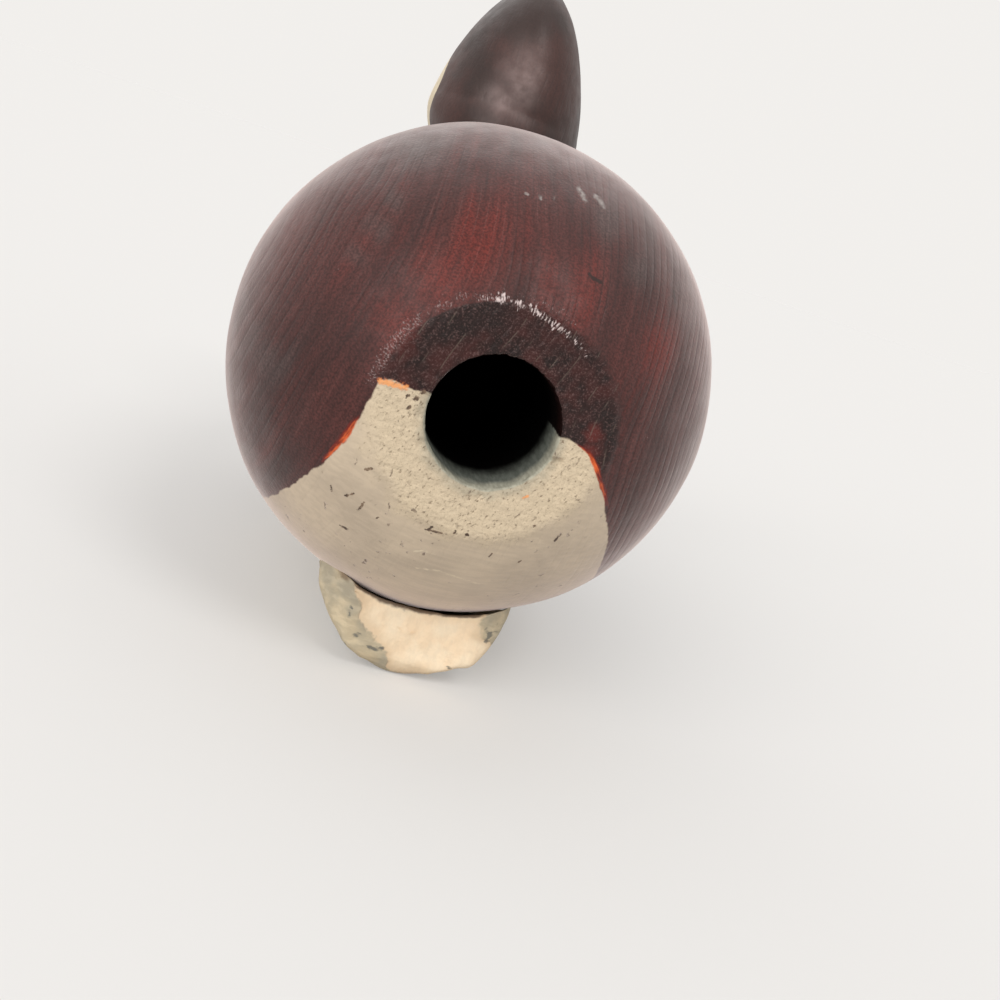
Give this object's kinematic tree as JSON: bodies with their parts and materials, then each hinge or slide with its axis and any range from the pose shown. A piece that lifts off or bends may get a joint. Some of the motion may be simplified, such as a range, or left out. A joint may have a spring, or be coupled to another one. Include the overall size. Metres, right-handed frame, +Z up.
{
  "type": "duck decoy",
  "caption": "Small carved wooden duck decoy with a round painted body bored at the tail, a weighted half-round keel with a line tie, and a low head that turns on a dowel.",
  "frame": {"origin": "middle of the keel's flat foot, on the surface that the decoy stands on", "axes": "+Y forward towards the bill, +Z up, +X to the duck's right; the bored tail faces -Y"},
  "size_m": [0.081, 0.1554, 0.1233],
  "materials": {
    "body_paint": "brown glaze over carved wood, cream under the tail, satin",
    "keel_wood": "worn cream paint over bare pale wood, matt",
    "screw_brass": "dull",
    "ballast_lead": "dull grey lead",
    "tie_brass": "dull",
    "dowel_wood": "bare",
    "head_paint": "dark brown paint with cream cheeks, satin",
    "bill_paint": "slate paint, satin",
    "eye_glass": "dark, polished"
  },
  "bodies": {
    "body": {"body": "body_paint", "keel": "keel_wood", "keel_screw_rear": "screw_brass", "keel_screw_front": "screw_brass", "ballast_bar_rear": "ballast_lead", "ballast_bar_front": "ballast_lead", "line_tie_eye": "tie_brass", "neck_dowel": "dowel_wood"},
    "head": {"head": "head_paint", "bill": "bill_paint", "left_eye": "eye_glass", "right_eye": "eye_glass"}
  },
  "joints": [
    {"name": "head_turn", "type": "hinge", "parent": "body", "child": "head", "pos_m": [0, 0.03687, 0.0865], "axis": [0, 0, 1], "continuous": true}
  ]
}
